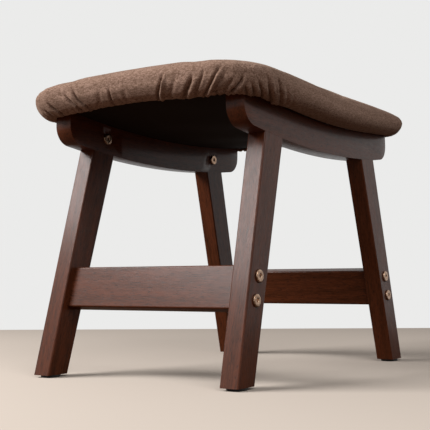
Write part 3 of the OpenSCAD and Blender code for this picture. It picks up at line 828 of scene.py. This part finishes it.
def hanging(points):
    """How far each point of the cover hangs down where its gathers are loose, near the corners.

    The spots are distances along the rim from the middle of an end, in millimetres like the
    drops there."""
    spots = [-230, -180, -136, -110, -80, -45, 0, 35, 68, 97, 124, 176, 216, 250, 290]
    drops = [0.0, 2.0, 3.4, 4.2, 2.4, 0.6, 0.0, 0.8, 2.8, 3.3, 3.4, 2.2, 3.0, 1.0, 0.0]
    rim = KDTree(int(rim_length / RIM_STEP))
    for step in range(int(rim_length / RIM_STEP)):
        x, y = rim_point(step * RIM_STEP)[:2]
        rim.insert((x, y, 0), step)
    rim.balance()
    drop = np.zeros(len(points))
    share = 1 - smooth_step(board_height(points), *LOOSE_HEIGHTS)
    for index in np.where(share > 0)[0]:
        along = rim.find((points[index, 0], points[index, 1], 0))[1] * RIM_STEP
        along = (along + rim_length / 4) % (rim_length / 2) - rim_length / 4
        loose = 1 if points[index, 0] < 0 else LOOSE_RIGHT
        drop[index] = loose * np.interp(along / MM, spots, drops) * MM * share[index]
    return drop


RIGHT_BULGE = 1 * MM
DRAWN_HEIGHTS = (-3 * MM, 16 * MM)


def drawn_up(points):
    """How far each point is drawn up at the right end, where the photograph shows less bulge."""
    bulge = np.clip(points[:, 0] / end_bulge_from, 0, 1) ** BULGE_POWER
    low = 1 - smooth_step(board_height(points), *DRAWN_HEIGHTS)
    return (end_bulge - RIGHT_BULGE) * bulge * low


CORNER_FILL = 2.6 * MM           # at most, at the height of FILL_HEIGHT
FILL_HEIGHT = fullest_height - 5 * MM
FILL_SPREAD = 8 * MM
FILL_REACH = (10 * MM, 80 * MM)  # it fades over these distances from the corner
FILL_OFFSETS = (0, 8 * MM)


def filled_corner(points):
    """How much further the rear left corner stands out than the plain form."""
    corner = (-board_half_length, board_half_width)
    away = np.hypot(points[:, 0] - corner[0], points[:, 1] - corner[1])
    near = 1 - smooth_step(away, *FILL_REACH)
    at_height = np.exp(-((board_height(points) - FILL_HEIGHT) / FILL_SPREAD) ** 2)
    return CORNER_FILL * near * at_height * smooth_step(rim_offset(points), *FILL_OFFSETS)


def covered_seat():
    """The upholstered seat: remeshed, blown up, opened below and gathered."""
    mesh = remeshed_pad()
    mesh = blown_up(mesh)
    shape = opened_below(mesh)
    shape.normal_update()
    points = np.array([v.co for v in shape.verts])
    normals = np.array([v.normal for v in shape.verts])
    moved = points + normals * (gathered(points, normals) + filled_corner(points))[:, None]
    moved[:, 2] += drawn_up(points) - hanging(points)
    for vert, place in zip(shape.verts, moved):
        vert.co = place
    tuck_under(shape)
    cover = piece("seat_cover_fabric", shape, heathered_felted_cloth(),
                  ["seat_cover"])
    skin = cover.modifiers.new("cloth_thickness", "SOLIDIFY")
    skin.thickness = cover_thickness
    skin.offset = -1


def hem_spot(place, offset, level):
    """The nearest point of the hem at this offset from the board's edge, at this level."""
    inner_x = board_half_length - board_corner
    inner_y = board_half_width - board_corner
    corner = Vector((max(-inner_x, min(inner_x, place.x)), max(-inner_y, min(inner_y, place.y))))
    away = place.xy - corner
    if away.length < SMALLEST:
        return Vector((place.x, place.y, level))
    spot = corner + away.normalized() * (board_corner + offset)
    return Vector((spot.x, spot.y, level))


TURNED_IN = 1 * MM


def tuck_under(shape):
    """Draws the cut edge to the hem's line and turns it up against the board."""
    rim = [edge for edge in shape.edges if edge.is_boundary]
    for vert in {v for edge in rim for v in edge.verts}:
        vert.co = hem_spot(vert.co, hem_offset, vert.co.z)
    turned = bmesh.ops.extrude_edge_only(shape, edges=rim)["geom"]
    for vert in [v for v in turned if isinstance(v, bmesh.types.BMVert)]:
        level = on_seat_curve(vert.co.x, hem_height)
        vert.co = hem_spot(vert.co, hem_offset - TURNED_IN, level)


PRESSED_IN = 5 * MM
OUTER_FROM = -30 * MM    # measured from the board's edge
OUTER_ABOVE = 20 * MM    # measured from the board's underside
FOAM_SHARP = math.radians(50)


def pressed_foam():
    """The foam under the cover: its outer faces are pressed in, and those on the board stay."""
    shape = merged_copy("seat_foam")
    shape.normal_update()
    places = np.array([v.co for v in shape.verts])
    outer = (rim_offset(places) > OUTER_FROM) | (board_height(places) > OUTER_ABOVE)
    for vert, is_outer in zip(shape.verts, outer):
        if is_outer:
            vert.co -= vert.normal * PRESSED_IN
    foam = piece("seat_foam_block", shape, cut_foam, ["seat_foam"], sharp=FOAM_SHARP)


cloth_length = 2 * (board_half_length + cloth_offset)
cloth_width = 2 * (board_half_width + cloth_offset)
cloth_corner = board_corner + cloth_offset
slack_half_length = cloth_length / 2 - 8 * MM
slack_half_width = rail_inner_y - 4 * MM
CLOTH_STEP = 6 * MM
CLOTH_SLACK = 1.6 * MM
WRINKLE = 0.35           # how much of the slack the wrinkles add or take
WRINKLE_LENGTH = 19 * MM
WRINKLE_SWAY = 1.3
SWAY_LENGTH = 43 * MM


def slack_at(x, y):
    """How far the dark cloth sags between the rails at a point."""
    between = (max(0, 1 - (y / slack_half_width) ** 2)
               * max(0, 1 - (x / slack_half_length) ** 2))
    sway = WRINKLE_SWAY * math.sin(y / SWAY_LENGTH)
    wrinkle = 1 + WRINKLE * math.sin(x / WRINKLE_LENGTH + sway)
    return CLOTH_SLACK * between ** 0.5 * wrinkle


def stapled_cloth():
    """The dark cloth under the board, cut flat with round corners and stapled on a little slack."""
    shape = bmesh.new()
    bmesh.ops.create_grid(shape, x_segments=1, y_segments=1, size=0.5)
    bmesh.ops.scale(shape, verts=shape.verts, vec=(cloth_length, cloth_width, 1))
    bmesh.ops.bevel(shape, geom=shape.verts, offset=cloth_corner, offset_type="OFFSET",
                    segments=8, profile=0.5, affect="VERTICES", material=-1)
    for axis, length in ((0, cloth_length), (1, cloth_width)):
        for step in range(1, int(length / CLOTH_STEP)):
            cut_place = Vector((0, 0, 0))
            cut_place[axis] = step * CLOTH_STEP - length / 2
            cut_facing = Vector((0, 0, 0))
            cut_facing[axis] = 1
            whole = shape.verts[:] + shape.edges[:] + shape.faces[:]
            bmesh.ops.bisect_plane(shape, geom=whole, plane_co=cut_place, plane_no=cut_facing)
    bmesh.ops.recalc_face_normals(shape, faces=shape.faces)
    if shape.faces[0].normal.z > 0:
        bmesh.ops.reverse_faces(shape, faces=shape.faces)
    for vert in shape.verts:
        x, y = vert.co.x, vert.co.y
        vert.co.z = on_seat_curve(x, -cloth_thickness - slack_at(x, y))
    dust_cloth = piece("dust_cloth", shape, spun_bonded_cloth, ["bottom_cloth"])
    felted = dust_cloth.modifiers.new("cloth_thickness", "SOLIDIFY")
    felted.thickness = cloth_thickness
    felted.offset = -1


covered_seat()
pressed_foam()
stapled_cloth()


# The stage, the light and the camera

# The camera as it was fitted to the photograph. Its heading is turned from +Y towards +X.
camera_heading = math.radians(56.86)
camera_tilt = math.radians(94.097)
camera_roll = math.radians(-0.258)
camera_place = Vector((-1.0558, -0.6597, 0.1179))
camera_turn = (Matrix.Rotation(-camera_heading, 4, "Z") @ Matrix.Rotation(camera_tilt, 4, "X")
               @ Matrix.Rotation(camera_roll, 4, "Z"))
camera = bpy.data.objects.new("camera", bpy.data.cameras.new("camera"))
camera.data.lens = 76.45
camera.data.sensor_width = 36
camera.matrix_world = Matrix.Translation(camera_place) @ camera_turn
scene.collection.objects.link(camera)
scene.camera = camera

# The floor's far and near edges are measured in metres from the camera.
floor_far = 2.24
floor_near = -1.2
floor_half_width = 2.2
floor_shape = bmesh.new()
bmesh.ops.create_grid(floor_shape, x_segments=1, y_segments=1, size=0.5)
look = Vector((math.sin(camera_heading), math.cos(camera_heading), 0))
floor_middle = Vector((camera_place.x, camera_place.y, 0)) + look * (floor_far + floor_near) / 2
bmesh.ops.transform(
    floor_shape, verts=floor_shape.verts,
    matrix=(Matrix.Translation(floor_middle) @ Matrix.Rotation(-camera_heading, 4, "Z")
            @ Matrix.Diagonal((2 * floor_half_width, floor_far - floor_near, 1, 1))))
floor_mesh = bpy.data.meshes.new("floor")
floor_shape.to_mesh(floor_mesh)
floor_shape.free()
floor = bpy.data.objects.new("floor", floor_mesh)
scene.collection.objects.link(floor)


def seen_by_eye(tree):
    """1 for rays from the camera and for those that mirrors and glass pass on, else 0."""
    rays = add(tree, "ShaderNodeLightPath").outputs
    glossy = add(tree, "ShaderNodeMath", {0: rays["Is Camera Ray"], 1: rays["Is Glossy Ray"]},
                 operation="MAXIMUM").outputs[0]
    return add(tree, "ShaderNodeMath", {0: glossy, 1: rays["Is Transmission Ray"]},
               operation="MAXIMUM").outputs[0]


floor_paint, tree, output = finish_named("pale_studio_floor")
straight_to_camera = add(tree, "ShaderNodeLightPath").outputs["Is Camera Ray"]
floor_colour = add(tree, "ShaderNodeMix", {
    FACTOR: straight_to_camera, FIRST: linear("#6f5a4c"), SECOND: linear("#cfc2b6")},
                   data_type="RGBA").outputs[MIXED]
matt = add(tree, "ShaderNodeBsdfDiffuse", {"Color": floor_colour})
tree.links.new(matt.outputs[0], output.inputs["Surface"])
floor_mesh.materials.append(floor_paint)

world = bpy.data.worlds.new("studio")
scene.world = world
world.use_nodes = True
tree = world.node_tree
tree.nodes.clear()
backdrop = linear("#ebebea")
ambient = 0.17
seen = add(tree, "ShaderNodeBackground", {"Color": backdrop, "Strength": 1.0})
lit = add(tree, "ShaderNodeBackground", {"Color": linear("#ffffff"), "Strength": ambient})
either = add(tree, "ShaderNodeMixShader", {
    0: seen_by_eye(tree), 1: lit.outputs[0], 2: seen.outputs[0]})
tree.links.new(either.outputs[0], add(tree, "ShaderNodeOutputWorld").inputs["Surface"])


def softbox(name, towards, distance, width, height, power):
    """A soft rectangular lamp that stands off in a direction and faces the stool."""
    lamp = bpy.data.lights.new(name, "AREA")
    lamp.shape = "RECTANGLE"
    lamp.size = width
    lamp.size_y = height
    lamp.energy = power
    target = Vector((0, 0, 0.2))
    place = target + Vector(towards).normalized() * distance
    facing = (target - place).to_track_quat("-Z", "Y").to_matrix().to_4x4()
    made = bpy.data.objects.new(name, lamp)
    made.matrix_world = Matrix.Translation(place) @ facing
    scene.collection.objects.link(made)


softbox("window_light", towards=(-0.63, 0.57, 0.56), distance=2.2, width=1.4, height=0.9,
        power=63)
softbox("front_fill", towards=(-0.55, -0.70, 0.70), distance=2.4, width=1.6, height=1.2,
        power=22)

scene.view_settings.view_transform = "Standard"
